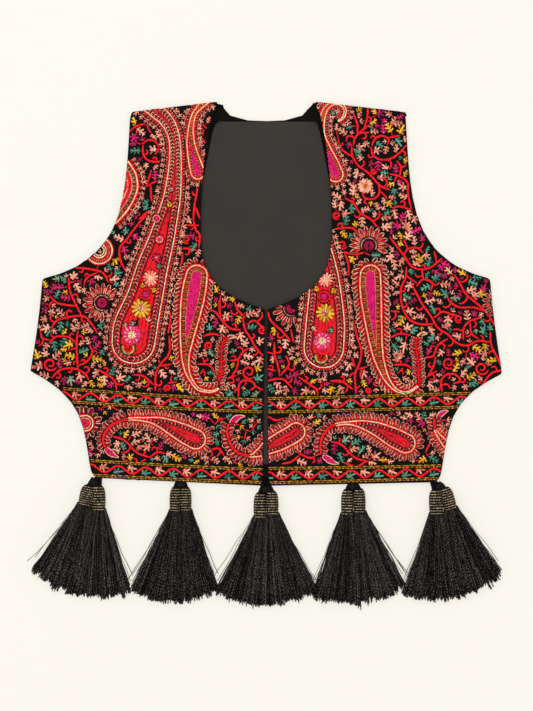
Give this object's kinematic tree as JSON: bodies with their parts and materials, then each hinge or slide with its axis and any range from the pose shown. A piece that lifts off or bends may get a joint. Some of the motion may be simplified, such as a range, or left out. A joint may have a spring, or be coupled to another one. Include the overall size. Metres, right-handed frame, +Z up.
{
  "type": "embroidered tasselled folk vest, laid flat",
  "caption": "Cropped sleeveless folk vest laid flat, with a deep scooped neck, edge-to-edge fronts, notched sides and paired tassels along the hem.",
  "frame": {"origin": "middle of the whole laid-out outline, tassels included, at the height of the surface it lies on", "axes": "+X towards the wearer's left side, +Y towards the shoulders, +Z up from the surface through the garment, so the fronts face +Z"},
  "size_m": [0.4708, 0.5001, 0.0119],
  "materials": {
    "embroidered_wool": "black wool covered all over with chain-stitch embroidery, mostly reds",
    "black_wool": "plain woven black wool, matt with a faint nap",
    "lining_sateen": "charcoal cotton sateen, smooth with a soft sheen",
    "tassel_thread": "black rayon thread with a silky gloss, heads wound with dull gold and black cord"
  },
  "bodies": {
    "root": {"back": "black_wool", "back_lining": "lining_sateen", "right_front": "embroidered_wool", "left_front": "embroidered_wool", "tassel_1a": "tassel_thread", "tassel_1b": "tassel_thread", "tassel_2a": "tassel_thread", "tassel_2b": "tassel_thread", "tassel_3a": "tassel_thread", "tassel_3b": "tassel_thread", "tassel_4a": "tassel_thread", "tassel_4b": "tassel_thread", "tassel_5a": "tassel_thread", "tassel_5b": "tassel_thread"}
  },
  "joints": []
}
